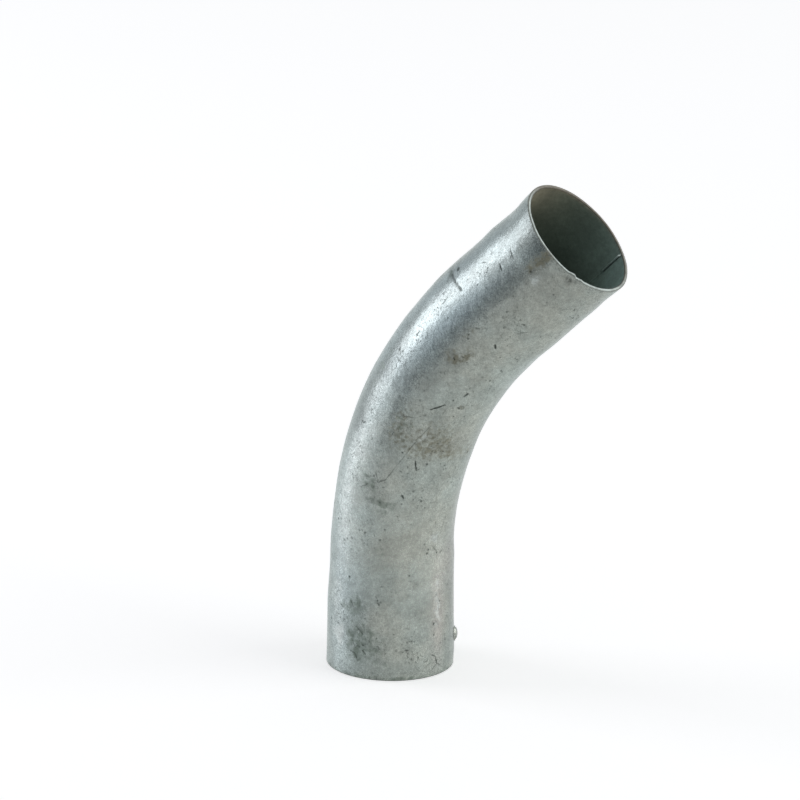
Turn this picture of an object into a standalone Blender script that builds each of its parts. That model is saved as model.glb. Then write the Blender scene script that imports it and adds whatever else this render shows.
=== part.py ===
"""A 45 degree bend in thin-wall steel tube, hot-dip galvanised.

It is one welded tube, cut square at both ends and drawn round a former. Its lower end stands on
the ground, and it leans towards +X. Sizes are in metres with +Z up. The origin lies on the ground,
half-way between the back of the lower end and the tip of the mouth.

The wall is lofted through rings set square to the tube's path, up the outside and down the inside.
An angle round a ring starts at the throat, the inner side of the bend, and turns towards +Y.
"""

import math

import bmesh
import bpy
import numpy as np
from mathutils import Matrix, Vector

# Tube
DIAMETER = 0.051
WALL = 0.0015
EDGE_BREAK = 0.0002

# Path: a straight leg, an arc, and a second straight leg
LOWER_LEG = 0.048
BEND_RADIUS = 0.150
BEND_ANGLE = math.radians(45.0)
UPPER_LEG = 0.055

# How bending has pressed the round section: the throat is drawn in along the whole bend,
# the sides swell a little, and the back is flattened just past the start of the bend
THROAT_DRAW = 0.0004
THROAT_LEAD = 0.0038
THROAT_RAMP = 0.0205
SIDE_SWELL = 0.00015
BACK_FLAT = 0.0010
BACK_FLAT_PAST_START = 0.0140
BACK_FLAT_SPREAD = 0.0205

# The lower end has spread a little, and the mouth is slightly oval, wider from throat to back
FOOT_SWELL = 0.0006
FOOT_SWELL_TOP = 0.0420
FOOT_SWELL_RAMP = 0.0280
MOUTH_OVAL = 0.0007
MOUTH_OVAL_RUN = 0.0130

# Weld bead down the inner wall: left full near the mouth, rolled low further in, dressed off at the ends
SEAM_ANGLE = math.radians(55.0)
SEAM_WIDTH = 0.0012
SEAM_LOW = 0.0003
SEAM_FULL = 0.0008
SEAM_FULL_RUN = 0.0114
SEAM_DRESSED = 0.0010
SEAM_RUN_OUT = 0.0005

# Drop of zinc set on the lower leg
DROP_ANGLE = math.radians(29.0)
DROP_HEIGHT_UP_LEG = 0.0124
DROP_LENGTH = 0.0060
DROP_BREADTH = 0.0044
DROP_PROUD = 0.0015
DROP_SUNK = 0.0007

# Fineness of the mesh
RING_POINTS = 60
SEAM_POINTS = 5
BEND_STEP = math.radians(3.0)
EASE_STEPS = 4
PLACE_DIGITS = 4
DROP_DIVISIONS = 3
SHARP_ANGLE = math.radians(35.0)

ZINC_COLOUR = (0.27, 0.30, 0.275, 1.0)
ZINC_ROUGHNESS = 0.45
ZINC_METALLIC = 0.85

BEND_START = LOWER_LEG
BEND_END = BEND_START + BEND_RADIUS * BEND_ANGLE
MOUTH = BEND_END + UPPER_LEG
BORE_RADIUS = DIAMETER / 2 - WALL


def clear_scene():
    for obj in list(bpy.data.objects):
        bpy.data.objects.remove(obj, do_unlink=True)


def ease(share):
    """Runs smoothly from 0 to 1 as share does, and stays level outside that."""
    share = np.clip(share, 0.0, 1.0)
    return share * share * (3.0 - 2.0 * share)


def path_frame(along):
    """Centre, heading and throat direction of the tube at a distance along its path."""
    turned = min(max(along - BEND_START, 0.0) / BEND_RADIUS, BEND_ANGLE)
    heading = np.array([math.sin(turned), 0.0, math.cos(turned)])
    throat = np.array([math.cos(turned), 0.0, -math.sin(turned)])
    arc = np.array([BEND_RADIUS * (1 - math.cos(turned)), 0.0, BEND_RADIUS * math.sin(turned)])
    lower = np.array([0.0, 0.0, min(along, BEND_START)])
    centre = lower + arc + max(along - BEND_END, 0.0) * heading
    return centre, heading, throat


def swept_radius(along, angles):
    """Outer radius round one section, as bending and cutting have left it."""
    throat = np.clip(np.cos(angles), 0.0, None) ** 2
    back = np.clip(-np.cos(angles), 0.0, None) ** 2
    side = np.sin(angles) ** 2
    entering = ease((along - BEND_START + THROAT_LEAD) / THROAT_RAMP)
    leaving = ease((BEND_END + THROAT_LEAD - along) / THROAT_RAMP)
    bent = entering * leaving
    off_flat = (along - BEND_START - BACK_FLAT_PAST_START) / BACK_FLAT_SPREAD
    spread = ease((FOOT_SWELL_TOP - along) / FOOT_SWELL_RAMP)
    oval = ease((along - MOUTH + MOUTH_OVAL_RUN) / MOUTH_OVAL_RUN)
    return (
        DIAMETER / 2
        + spread * FOOT_SWELL
        - bent * THROAT_DRAW * throat
        + bent * SIDE_SWELL * side
        - BACK_FLAT * math.exp(-off_flat * off_flat) * back
        + oval * MOUTH_OVAL * np.cos(2 * angles)
    )


def edge_break(along):
    """How far a cut edge is rounded back at this place: all of it on the cut, none beyond it."""
    from_cut = min(along, MOUTH - along)
    return max(EDGE_BREAK - from_cut, 0.0)


def seam_profile():
    """Distances along the tube and the height of the weld bead at each."""
    full_end = MOUTH - SEAM_DRESSED
    full_start = full_end - SEAM_FULL_RUN
    profile = [
        (SEAM_DRESSED, 0.0),
        (SEAM_DRESSED + SEAM_RUN_OUT, SEAM_LOW),
        (full_start - SEAM_RUN_OUT, SEAM_LOW),
        (full_start, SEAM_FULL),
        (full_end - SEAM_RUN_OUT, SEAM_FULL),
        (full_end, 0.0),
    ]
    return np.array(profile).T


def seam_height(along, angles):
    """Height of the bead round one section: a raised cosine across its width."""
    places, heights = seam_profile()
    reach = SEAM_WIDTH / 2 / BORE_RADIUS
    across = np.clip((angles - SEAM_ANGLE) / reach, -1.0, 1.0)
    return np.interp(along, places, heights) * np.cos(across * math.pi / 2) ** 2


def ring_angles():
    """Even angles round the tube, with a closer group across the weld bead."""
    even = np.arange(RING_POINTS) * 2 * math.pi / RING_POINTS
    reach = SEAM_WIDTH / 2 / BORE_RADIUS
    group = SEAM_ANGLE + reach * np.linspace(-1.0, 1.0, SEAM_POINTS)
    even = even[np.abs(even - SEAM_ANGLE) > 2 * reach]
    return np.sort(np.concatenate([even, group]))


def ring_places():
    """Distances along the tube of the rings, closer together where the section changes."""
    bend_steps = max(round(BEND_ANGLE / BEND_STEP), 1)
    places = np.concatenate([
        np.linspace(BEND_START, BEND_END, bend_steps + 1),
        [BEND_START - THROAT_LEAD, BEND_END + THROAT_LEAD],
        np.linspace(FOOT_SWELL_TOP - FOOT_SWELL_RAMP, FOOT_SWELL_TOP, EASE_STEPS + 1),
        np.linspace(MOUTH - MOUTH_OVAL_RUN, MOUTH, EASE_STEPS + 1),
        seam_profile()[0],
    ])
    places = np.unique(np.round(places, PLACE_DIGITS))
    inner = places[(places > 2 * EDGE_BREAK) & (places < MOUTH - 2 * EDGE_BREAK)]
    return np.concatenate([[0.0, EDGE_BREAK], inner, [MOUTH - EDGE_BREAK, MOUTH]])


def ring(along, angles, radii):
    """Points of one ring, square to the path."""
    centre, _, throat = path_frame(along)
    side = np.array([0.0, 1.0, 0.0])
    outward = np.outer(np.cos(angles), throat) + np.outer(np.sin(angles), side)
    return centre + radii[:, None] * outward


def wall_rings():
    """Rings bounding the wall: up the outside, then back down the inside."""
    angles = ring_angles()
    places = ring_places()
    outside = [ring(s, angles, swept_radius(s, angles) - edge_break(s)) for s in places]
    inside = [
        ring(s, angles, swept_radius(s, angles) - WALL - seam_height(s, angles) + edge_break(s))
        for s in places[::-1]
    ]
    return outside + inside


def loft(name, rings):
    """Mesh of the closed band through rings of equal count, each joined to the next round to the first."""
    bm = bmesh.new()
    grid = [[bm.verts.new(point) for point in points] for points in rings]
    for lower, upper in zip(grid, grid[1:] + grid[:1]):
        for i, (a, b) in enumerate(zip(lower, upper)):
            bm.faces.new((lower[i - 1], a, b, upper[i - 1]))
    bmesh.ops.recalc_face_normals(bm, faces=bm.faces)
    return finish_mesh(name, bm)


def finish_mesh(name, bm):
    mesh = bpy.data.meshes.new(name)
    bm.to_mesh(mesh)
    bm.free()
    mesh.shade_smooth()
    mesh.set_sharp_from_angle(angle=SHARP_ANGLE)
    return mesh


def zinc_drop():
    """Low oval dome, its long way along the leg, set into the outside of the wall."""
    centre, heading, throat = path_frame(DROP_HEIGHT_UP_LEG)
    side = np.array([0.0, 1.0, 0.0])
    outward = math.cos(DROP_ANGLE) * throat + math.sin(DROP_ANGLE) * side
    across = np.cross(outward, heading)
    half_depth = (DROP_PROUD + DROP_SUNK) / 2
    surface = swept_radius(DROP_HEIGHT_UP_LEG, np.array([DROP_ANGLE]))[0]
    middle = centre + (surface + DROP_PROUD - half_depth) * outward
    axes = np.column_stack([
        across * DROP_BREADTH / 2,
        heading * DROP_LENGTH / 2,
        outward * half_depth,
    ])
    place = Matrix.Translation(Vector(middle)) @ Matrix(axes.tolist()).to_4x4()
    bm = bmesh.new()
    bmesh.ops.create_icosphere(bm, subdivisions=DROP_DIVISIONS, radius=1.0)
    bmesh.ops.transform(bm, matrix=place, verts=bm.verts)
    bmesh.ops.recalc_face_normals(bm, faces=bm.faces)
    return finish_mesh("zinc_drop", bm)


def zinc_material():
    material = bpy.data.materials.new("galvanised_steel")
    material.use_nodes = True
    surface = material.node_tree.nodes["Principled BSDF"]
    surface.inputs["Base Color"].default_value = ZINC_COLOUR
    surface.inputs["Roughness"].default_value = ZINC_ROUGHNESS
    surface.inputs["Metallic"].default_value = ZINC_METALLIC
    return material


def place_object(name, mesh, location, parent=None):
    obj = bpy.data.objects.new(name, mesh)
    obj.location = location
    obj.parent = parent
    bpy.context.scene.collection.objects.link(obj)
    return obj


def fuse_drop(bend, drop):
    """Joins the drop to the wall, and leaves the drop itself out of the render."""
    drop.hide_render = True
    drop.display_type = "WIRE"
    union = bend.modifiers.new("zinc_drop", "BOOLEAN")
    union.operation = "UNION"
    union.solver = "EXACT"
    union.object = drop


def middle_of_outline():
    """Distance along +X from the lower end's centre to the middle of the whole outline."""
    back = swept_radius(EDGE_BREAK, np.array([math.pi]))[0]
    centre, _, throat = path_frame(MOUTH - EDGE_BREAK)
    tip = centre + swept_radius(MOUTH - EDGE_BREAK, np.zeros(1)) * throat
    return (tip[0] - back) / 2


def main():
    clear_scene()
    mesh = loft("pipe_bend", wall_rings())
    mesh.materials.append(zinc_material())
    bend = place_object("pipe_bend", mesh, (-middle_of_outline(), 0.0, 0.0))
    drop = place_object("zinc_drop", zinc_drop(), (0.0, 0.0, 0.0), parent=bend)
    fuse_drop(bend, drop)


main()
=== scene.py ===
"""Looks of a 45 degree bend in thin-wall galvanised steel tube, standing on its cut lower end.

Everything is in metres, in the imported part's own frame. A place on the wall is given by two numbers:
along, the distance from the lower cut up the middle line of the tube, and round, the angle about that
line. Round is 0 at the throat, the inner side of the bend, 90 degrees at +Y and -90 towards the camera.
The lists of dents, marks and patches give lengths in millimetres and angles in degrees.
"""

import math

import bpy
import numpy as np
from mathutils import Matrix, Vector


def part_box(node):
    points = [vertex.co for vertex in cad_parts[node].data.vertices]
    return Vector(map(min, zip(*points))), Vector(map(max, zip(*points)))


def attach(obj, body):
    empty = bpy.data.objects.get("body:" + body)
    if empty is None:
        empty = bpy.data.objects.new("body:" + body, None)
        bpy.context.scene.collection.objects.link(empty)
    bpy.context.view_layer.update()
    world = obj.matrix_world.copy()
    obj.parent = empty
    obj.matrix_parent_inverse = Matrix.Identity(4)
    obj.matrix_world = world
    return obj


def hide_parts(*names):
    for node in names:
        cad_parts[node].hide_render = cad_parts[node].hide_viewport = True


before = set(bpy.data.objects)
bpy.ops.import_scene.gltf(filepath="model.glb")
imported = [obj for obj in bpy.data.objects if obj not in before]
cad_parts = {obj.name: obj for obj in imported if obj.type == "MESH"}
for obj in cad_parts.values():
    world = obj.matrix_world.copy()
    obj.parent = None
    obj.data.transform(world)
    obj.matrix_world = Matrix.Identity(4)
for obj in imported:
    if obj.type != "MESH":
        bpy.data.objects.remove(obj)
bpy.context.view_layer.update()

MM = 0.001

# Tube, as packed
DIAMETER = 0.051
WALL = 0.0015
LOWER_LEG = 0.048
BEND_RADIUS = 0.150
BEND_ANGLE = math.radians(45.0)
UPPER_LEG = 0.055
BEND_END = LOWER_LEG + BEND_RADIUS * BEND_ANGLE
MOUTH = BEND_END + UPPER_LEG

# How bending has pressed the section, as packed
THROAT_DRAW = 0.0004
THROAT_LEAD = 0.0038
THROAT_RAMP = 0.0205
SIDE_SWELL = 0.00015
BACK_FLAT = 0.0010
BACK_FLAT_PLACE = LOWER_LEG + 0.0140
BACK_FLAT_SPREAD = 0.0205
FOOT_SWELL = 0.0006
FOOT_SWELL_TOP = 0.0420
FOOT_SWELL_RAMP = 0.0280
MOUTH_OVAL = 0.0007
MOUTH_OVAL_RUN = 0.0130

# Weld bead in the bore, as packed but for its low part: the photograph shows next to nothing of it
SEAM_ANGLE = math.radians(55.0)
SEAM_WIDTH = 0.0012
SEAM_LOW = 0.0001
SEAM_FULL = 0.0008
SEAM_FULL_RUN = 0.0114
SEAM_DRESSED = 0.0010
SEAM_RUN_OUT = 0.0005

# Zinc drop on the lower leg, as packed
DROP_ANGLE = math.radians(29.0)
DROP_PLACE = 0.0124
DROP_LENGTH = 0.0060
DROP_BREADTH = 0.0044
DROP_PROUD = 0.0015

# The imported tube's lower end is centred under its own back edge
LOWEST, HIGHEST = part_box("pipe_bend")
FOOT_X = LOWEST.x + DIAMETER / 2 + FOOT_SWELL

# Rounding of the zinc over both cut ends
LIP_DEPTH = 0.00042
LIP_SQUARENESS = 2.6

# Fineness of the wall's grid
ROUND_STEPS = 288
OUTSIDE_STEPS = 264
EDGE_ROWS = 4
EDGE_ROW_GAP = 0.0003
BORE_STEPS = 40
BORE_CROWDING = 2.2
LIP_STEPS = 6

# Burr left on the near side of the mouth, and a low step beside it: round, half width round and rise
RIM_RUN = 0.0012
RIM_RISES = [
    (-60.6, 2, 0.4), (-57.6, 1.9, 0.6), (-54.4, 1.2, -0.12), (-48.6, 1.6, 0.26), (-45.5, 1.2, -0.1),
    (-20, 12, 0.1), (-125, 7, 0.12),
]

# Camera, from the photograph's outline
CAMERA_AZIMUTH = math.radians(29.2716)
CAMERA_ELEVATION = math.radians(16.9852)
CAMERA_ROLL = math.radians(0.8786)
CAMERA_DISTANCE = 2.55
CAMERA_LENS = 278.294
CAMERA_SENSOR = 36.0
CAMERA_REACH = 50.0
CAMERA_AIM = Vector((FOOT_X - 0.01313, 0.02856, 0.10260))


def ease(share):
    """Runs smoothly from 0 to 1 as share does, and stays level outside that."""
    share = np.clip(share, 0.0, 1.0)
    return share * share * (3.0 - 2.0 * share)


def bump(away):
    """Bell curve: 1 at away = 0, about a third at 1, next to nothing past 2."""
    return np.exp(-np.square(away))


def path_frame(along):
    """Middle line of the tube: a straight leg, an arc and a second straight leg.

    Gives the centre, the heading and the direction to the throat at each distance along it, as rows.
    """
    turned = np.clip((along - LOWER_LEG) / BEND_RADIUS, 0.0, BEND_ANGLE)
    level = np.zeros_like(turned)
    heading = np.stack([np.sin(turned), level, np.cos(turned)], axis=-1)
    throat = np.stack([np.cos(turned), level, -np.sin(turned)], axis=-1)
    across = FOOT_X + BEND_RADIUS * (1.0 - np.cos(turned))
    height = np.minimum(along, LOWER_LEG) + BEND_RADIUS * np.sin(turned)
    past = np.maximum(along - BEND_END, 0.0)
    centre = np.stack([across, level, height], axis=-1) + past[..., None] * heading
    return centre, heading, throat


def outer_radius(along, around):
    """Half the diameter, plus the spread foot and the oval mouth, less the drawn throat and flat back.

    The throat's share is the squared cosine of the angle on the inner side, the back's the same on the
    outer side, and the sides' the squared sine. The flat back fades as a bell curve along the tube.
    """
    throat = np.square(np.clip(np.cos(around), 0.0, None))
    back = np.square(np.clip(-np.cos(around), 0.0, None))
    side = np.square(np.sin(around))
    entering = ease((along - LOWER_LEG + THROAT_LEAD) / THROAT_RAMP)
    leaving = ease((BEND_END + THROAT_LEAD - along) / THROAT_RAMP)
    bent = entering * leaving
    spread = ease((FOOT_SWELL_TOP - along) / FOOT_SWELL_RAMP)
    oval = ease((along - MOUTH + MOUTH_OVAL_RUN) / MOUTH_OVAL_RUN)
    return (
        DIAMETER / 2
        + spread * FOOT_SWELL
        - bent * THROAT_DRAW * throat
        + bent * SIDE_SWELL * side
        - BACK_FLAT * bump((along - BACK_FLAT_PLACE) / BACK_FLAT_SPREAD) * back
        + oval * MOUTH_OVAL * np.cos(2 * around)
    )


def seam_profile():
    """Distances along the tube where the weld bead changes height, and its height at each."""
    full_end = MOUTH - SEAM_DRESSED
    full_start = full_end - SEAM_FULL_RUN
    places = [SEAM_DRESSED, SEAM_DRESSED + SEAM_RUN_OUT, full_start - SEAM_RUN_OUT, full_start]
    places += [full_end - SEAM_RUN_OUT, full_end]
    return np.array(places), np.array([0.0, SEAM_LOW, SEAM_LOW, SEAM_FULL, SEAM_FULL, 0.0])


def seam_height(along, around):
    """Weld bead in the bore: a raised cosine across its width, full near the mouth and low further in."""
    places, heights = seam_profile()
    reach = SEAM_WIDTH / 2 / (DIAMETER / 2 - WALL)
    across = np.clip(turn_between(around, SEAM_ANGLE) / reach, -1.0, 1.0)
    return np.interp(along, places, heights) * np.square(np.cos(across * math.pi / 2))


def turn_between(around, angle):
    """Signed turn from angle to around, within half a turn either way."""
    return (around - angle + math.pi) % (2 * math.pi) - math.pi


# Slow waves of the drawn and dipped wall: count, wavelengths and rms height
WAVE_COUNT = 70
WAVE_SHORTEST = 0.0070
WAVE_LONGEST = 0.0450
WAVE_HEIGHT = 0.00004
WAVE_SEED = 7


def waves(along, around):
    """Sum of plane waves over the unrolled wall, each a whole number of turns round, higher where longer."""
    rng = np.random.default_rng(WAVE_SEED)
    lengths = WAVE_SHORTEST * (WAVE_LONGEST / WAVE_SHORTEST) ** rng.random(WAVE_COUNT)
    leaning = rng.random(WAVE_COUNT) * 2 * math.pi
    start = rng.random(WAVE_COUNT) * 2 * math.pi
    turns = np.round(np.cos(leaning) * math.pi * DIAMETER / lengths)
    up = np.sin(leaning) * 2 * math.pi / lengths
    height = np.zeros(np.broadcast(along, around).shape)
    for k in range(WAVE_COUNT):
        height += lengths[k] * np.cos(turns[k] * around + up[k] * along + start[k])
    return WAVE_HEIGHT * height / np.sqrt(np.square(lengths).sum() / 2)


# Dents and swells that show in the outline: along, round, half length, half breadth and height
OUTLINE_DENTS = [
    (207, -155, 5.5, 11, -0.5), (194, -168, 4, 11, 0.22), (171.5, -168, 8.5, 12, 0.38),
    (162, -168, 4, 11, 0.22), (148, -166, 4, 11, -0.12), (112, -160, 12, 12, 0.2),
    (59, -152, 7, 12, 0.18), (29, -150, 8.5, 12, 0.26), (205, 6, 6.5, 10, 0.3), (170, 12, 7.5, 11, -0.55),
    (104.5, 20, 8.5, 11, 0.25), (85, 22, 16, 11, 0.14), (47, 27, 5, 10, 0.26), (36, 28, 10, 10, 0.24),
    (6.5, 28, 4, 10, 0.34),
]


def bell_patches(patches, along, around):
    """Sum of patches, each its last number times a bell curve along the wall and one round it."""
    total = np.zeros(np.broadcast(along, around).shape)
    for place, angle, length, breadth, most in patches:
        off_round = turn_between(around, math.radians(angle)) * DIAMETER / 2
        total += most * bump((along - place * MM) / (length * MM)) * bump(off_round / (breadth * MM))
    return total


# Marks on the outside: along and round at one end, along and round at the other, half width, how dark
# it is from 0 to 1, and how deep it is cut into the wall
MARKS = [
    (171.2, -155, 172.2, -148, 1.1, 0.34, 0.1), (171.9, -151, 173.1, -142, 1.8, 0.4, 0.16),
    (172.7, -146, 174, -137, 0.8, 0.66, 0.14), (173.8, -139, 174.7, -131, 0.7, 0.62, 0.1),
    (174.5, -132, 175.7, -125, 0.8, 0.5, 0.1), (175.5, -126, 176.5, -119, 0.78, 0.58, 0.1),
    (176.6, -147, 176.8, -143, 1, 0.8, 0.12), (169, -124, 165, -122.5, 0.4, 0.45, 0),
    (206.2, -117.5, 205.8, -107, 0.42, 0.6, 0.1), (198.8, -112.5, 198.2, -106, 0.44, 0.82, 0.07),
    (212.2, -112, 211.7, -109, 0.3, 0.45, 0.04), (219, -103.5, 218.8, -102, 0.3, 0.45, 0.04),
    (156.7, -119.5, 156.6, -118.5, 0.4, 0.45, 0.05), (150.5, -119.5, 150.4, -118.5, 0.4, 0.4, 0.05),
    (128, -65.6, 133.6, -56, 0.36, 0.9, 0.09), (127.9, -53.8, 132.2, -53.3, 0.16, 0.4, 0),
    (118.6, -86, 121, -74, 0.22, 0.45, 0), (121, -57.5, 112, -63, 0.19, 0.5, 0),
    (112, -63, 103, -67.5, 0.19, 0.5, 0), (103, -67.5, 95.5, -72.5, 0.19, 0.52, 0),
    (95.5, -72.5, 89, -77, 0.21, 0.55, 0), (89, -77, 86.2, -83.5, 0.26, 0.6, 0),
    (90, -88, 86.8, -83.5, 0.22, 0.5, 0), (101.7, -57.2, 96.8, -53.2, 0.34, 0.85, 0.07),
    (96.8, -53.2, 98.4, -50.6, 0.26, 0.6, 0), (83.8, -60, 82.2, -57.3, 0.46, 0.85, 0.08),
    (82, -40.4, 81.8, -39, 0.32, 0.6, 0), (173.4, -60.5, 172, -57.2, 0.48, 0.9, 0.06),
    (186.2, -54.5, 183.8, -49.5, 0.26, 0.55, 0), (183.8, -52, 187.2, -47, 0.24, 0.45, 0),
    (188, -45, 185.8, -48, 0.22, 0.4, 0), (182.5, -66.9, 182.2, -65.9, 0.4, 0.55, 0),
    (170.9, -29.5, 170.6, -27.5, 0.34, 0.4, 0), (162.6, -33.5, 161.9, -31.5, 0.4, 0.5, 0),
    (155.6, -77.2, 155.2, -75.4, 0.48, 0.75, 0), (143.7, -44.2, 141.3, -46, 0.44, 0.85, 0),
    (137.2, -52.6, 136.8, -51.8, 0.32, 0.5, 0), (209.2, -88.6, 208.9, -87.4, 0.5, 0.8, 0.05),
    (219.6, -59.5, 218, -55.5, 0.56, 0.36, 0), (219.8, -53.2, 218.8, -52, 0.5, 0.34, 0),
    (219, -62, 217.8, -60.5, 0.36, 0.26, 0), (212.2, -9.5, 211.8, -5.5, 0.24, 0.35, 0),
    (83.6, -113, 83.4, -102, 0.22, 0.4, 0), (57.8, -20.5, 54.1, -14, 0.4, 0.55, 0),
    (53.4, -11.5, 54.1, -6.5, 0.34, 0.6, 0), (13.2, -47, 13, -44.4, 0.38, 0.7, 0),
    (90.7, -88.7, 88.2, -86.3, 0.3, 0.6, 0), (83.6, -93, 81.2, -99.5, 0.34, 0.55, 0),
    (9.6, -20.5, 8.4, -15.5, 0.34, 0.65, 0), (8.4, -15.5, 5.2, -14, 0.34, 0.75, 0),
    (5.2, -14, 3.2, -19, 0.3, 0.6, 0), (4.6, -28, 6.2, -22, 0.28, 0.45, 0),
    (4, -9, 5.2, -14, 0.28, 0.5, 0), (5.2, -37, 3.6, -33, 0.26, 0.45, 0),
    (11.3, -99, 10.4, -94, 0.38, 0.42, 0), (10.4, -94, 7.2, -91, 0.32, 0.4, 0),
    (12.3, -86.3, 10.6, -83, 0.44, 0.65, 0), (16.5, -97.5, 12.8, -93.5, 0.34, 0.4, 0),
    (30, -114, 28.6, -109.5, 0.36, 0.5, 0), (33, -101, 30, -96.5, 0.32, 0.5, 0),
    (22.2, -93, 19.2, -86, 0.34, 0.45, 0), (172.6, -83.5, 174, -80.2, 0.34, 0.6, 0),
    (150.6, -119.9, 147.8, -118.6, 0.36, 0.6, 0), (138.8, -126.4, 137.6, -124.4, 0.52, 0.7, 0),
    (134.6, -44.6, 134.1, -41.5, 0.44, 0.78, 0), (134.1, -41.5, 134.7, -38.2, 0.3, 0.6, 0),
    (134.7, -38.2, 136.1, -40.4, 0.3, 0.5, 0), (136.1, -40.4, 134.6, -44.6, 0.28, 0.45, 0),
    (221, -104.5, 220.4, -102.5, 0.36, 0.65, 0), (220, -100.8, 219.4, -99, 0.38, 0.7, 0),
]

# How far a groove spreads past its mark's half width
GROOVE_SPREAD = 1.6

# Round specks that stand out on the outside: along, round, radius and how dark it is
SPECKS = [
    (84.1, -112.8, 0.34, 0.85), (84.2, -108.3, 0.28, 0.75), (82.8, -110.7, 0.28, 0.75),
    (82.9, -105.4, 0.3, 0.75), (83.6, -86.6, 0.5, 0.4), (73.1, -59.7, 0.38, 0.6),
    (65.4, -105.9, 0.36, 0.7), (63.3, -93.6, 0.36, 0.7), (66.1, -69.1, 0.4, 0.85), (70, -71.7, 0.3, 0.5),
    (75.1, -110.4, 0.26, 0.45), (81.9, -40.5, 0.48, 0.92), (81, -30, 0.34, 0.7),
    (78.4, -35.2, 0.36, 0.75), (79.4, -42.5, 0.34, 0.7), (102.2, -32, 0.36, 0.8),
    (101.3, -26.9, 0.4, 0.85), (99.2, -26.4, 0.34, 0.75), (99.6, -24.3, 0.34, 0.75),
    (95.8, -27.9, 0.36, 0.7), (42.4, -102.4, 0.54, 1), (45, -43.9, 0.46, 0.92), (45.4, -40.5, 0.26, 0.5),
    (34.3, -72.9, 0.42, 0.88), (31.7, -9.7, 0.48, 0.9), (22.6, -18, 0.52, 0.95),
    (17.9, -17.8, 0.48, 0.88), (16.6, -38.5, 0.34, 0.7), (16.6, -46, 0.26, 0.5), (9.6, -34.5, 0.42, 0.8),
    (7.9, -43.5, 0.28, 0.6), (9.1, -27.5, 0.28, 0.55), (54.6, -26.5, 0.6, 0.95),
    (53.9, -14.7, 0.54, 0.95), (56.4, -25.2, 0.54, 0.88), (47, -36.5, 0.24, 0.45),
    (154.8, -35.1, 0.46, 0.82), (162.8, -34.3, 0.46, 0.78), (143.4, -44.9, 0.5, 0.85),
    (119.3, -84.2, 0.36, 0.6), (103.4, -70.9, 0.46, 0.8), (182, -66.3, 0.38, 0.6),
    (209.2, -87.6, 0.5, 0.75), (218.8, -58, 0.32, 0.5), (59.4, -29.7, 0.46, 0.8),
    (56.7, -18.7, 0.75, 0.35), (53.4, -9.5, 0.42, 0.7), (137.3, -52.4, 0.44, 0.75),
    (129.2, -43, 0.48, 0.65), (168.4, -83.1, 0.46, 0.62), (166.9, -80.9, 0.54, 0.7),
]


def unrolled(angle):
    """Distance round the wall of an angle in degrees, counted from the throat in the grid's own turn."""
    turn = math.radians(angle)
    while turn < SEAM_ANGLE:
        turn += 2 * math.pi
    return turn * DIAMETER / 2


def mark_line(mark):
    """Start of a mark and its span on the unrolled wall, each as across and along in metres."""
    start = np.array([unrolled(mark[1]), mark[0] * MM])
    return start, np.array([unrolled(mark[3]), mark[2] * MM]) - start


def grooves(along, around):
    """The deeper marks as grooves: a bell curve of the distance from each mark's line."""
    depth = np.zeros(np.broadcast(along, around).shape)
    across = around * DIAMETER / 2 + np.zeros_like(along)
    for mark in MARKS:
        half_width, _, deep = mark[4:]
        if deep > 0:
            away = distance_to_line(across, along, *mark_line(mark))
            depth = np.maximum(depth, deep * MM * bump(away / (GROOVE_SPREAD * half_width * MM)))
    return depth


def distance_to_line(across, along, start, span):
    """Distance on the unrolled wall from each point to the line that spans from start."""
    off_across, off_along = across - start[0], along - start[1]
    share = np.clip((off_across * span[0] + off_along * span[1]) / (span @ span), 0.0, 1.0)
    return np.hypot(off_across - share * span[0], off_along - share * span[1])


def drop_height(along, around):
    """Zinc drop: half an oval dome standing on the wall."""
    up = (along - DROP_PLACE) / (DROP_LENGTH / 2)
    sideways = turn_between(around, DROP_ANGLE) * DIAMETER / 2 / (DROP_BREADTH / 2)
    off = np.square(up) + np.square(sideways)
    return DROP_PROUD * np.sqrt(np.clip(1.0 - off, 0.0, None))


# Where the grid's columns crowd together: angle, half width, both in degrees, and extra density
COLUMN_CROWDS = [(55.0, 2.6, 6.0), (-57.0, 8.0, 2.4), (29.0, 5.0, 1.6)]
CROWDING_FINENESS = 20


def grid_angles():
    """Angles of the grid's columns, from the weld line once round: even, but closer in each crowd.

    The density is summed along the turn, and the columns stand at equal steps of that sum.
    """
    fine = np.linspace(0.0, 2 * math.pi, CROWDING_FINENESS * ROUND_STEPS)
    density = np.ones_like(fine)
    for angle, width, extra in COLUMN_CROWDS:
        away = turn_between(fine + SEAM_ANGLE, math.radians(angle))
        density += extra * bump(away / math.radians(width))
    total = np.concatenate([[0.0], np.cumsum((density[1:] + density[:-1]) / 2 * np.diff(fine))])
    return SEAM_ANGLE + np.interp(np.arange(ROUND_STEPS) / ROUND_STEPS * total[-1], total, fine)


def outside_places():
    """Rows up the outside: evenly apart, with a few more between them just inside both cuts."""
    even = np.linspace(LIP_DEPTH, MOUTH - LIP_DEPTH, OUTSIDE_STEPS)
    close = LIP_DEPTH + EDGE_ROW_GAP * np.arange(1, EDGE_ROWS + 1)
    return np.unique(np.concatenate([even, close, MOUTH - close]))


def bore_places():
    """Rows down the bore: close together at the mouth, wider apart by a power of their count further in."""
    share = np.linspace(0.0, 1.0, BORE_STEPS) ** BORE_CROWDING
    even = MOUTH - LIP_DEPTH - (MOUTH - 2 * LIP_DEPTH) * share
    return np.sort(np.concatenate([even, seam_profile()[0]]))[::-1]


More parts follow.
